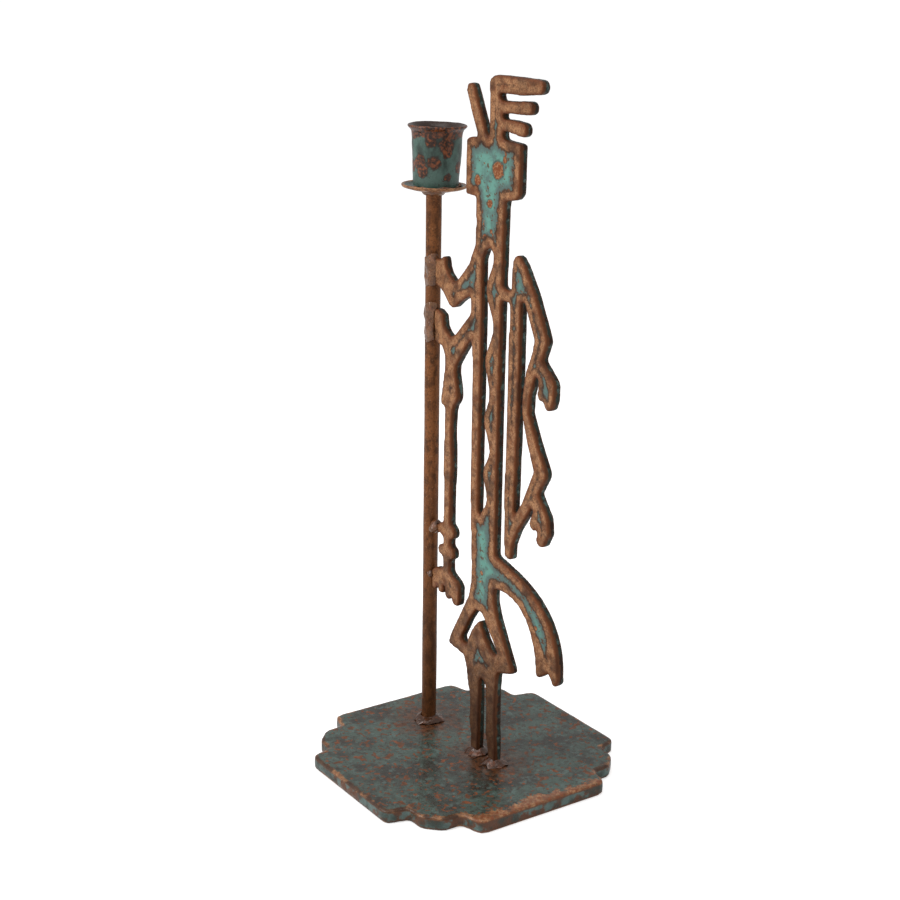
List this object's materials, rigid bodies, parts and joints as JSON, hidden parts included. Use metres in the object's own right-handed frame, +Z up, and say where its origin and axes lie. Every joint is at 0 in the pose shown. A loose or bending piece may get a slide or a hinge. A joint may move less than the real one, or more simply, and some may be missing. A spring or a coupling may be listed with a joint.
{
  "type": "candle holder",
  "caption": "Welded steel candle holder: a round stem with a drip pan and a candle cup stands beside a dancing figure cut from flat plate, on a scalloped base plate.",
  "frame": {"origin": "centre of the base plate's flat underside, on the surface that it stands on", "axes": "+X along the figure's plate, from the stem towards the figure; -Y is the side with the larger welds, which the picture shows; +Z up"},
  "size_m": [0.1464, 0.1456, 0.3585],
  "materials": {
    "base_steel": "dark grey-green patina with rust-orange specks and a brown rim, semi-gloss clear coat",
    "stem_steel": "rust-brown patina with vertical streaks, satin clear coat",
    "pan_steel": "rust-brown patina, satin clear coat",
    "cup_steel": "blue-green patina with rust-brown patches, satin clear coat",
    "figure_steel": "copper-brown patina along the edges and turquoise in the wide middles, satin clear coat",
    "weld_metal": "dark brown weld beads, glossy",
    "braze_metal": "brown braze fillet, satin"
  },
  "bodies": {
    "root": {"base_plate": "base_steel", "stem_rod": "stem_steel", "drip_pan": "pan_steel", "candle_cup": "cup_steel", "figure_plate": "figure_steel", "rod_foot_weld": "weld_metal", "left_foot_weld": "weld_metal", "right_foot_weld": "weld_metal", "upper_hand_weld": "weld_metal", "lower_hand_weld": "weld_metal", "bead_tack_weld": "weld_metal", "paw_tack_weld": "weld_metal", "pan_braze": "braze_metal", "cup_braze": "braze_metal"}
  },
  "joints": []
}
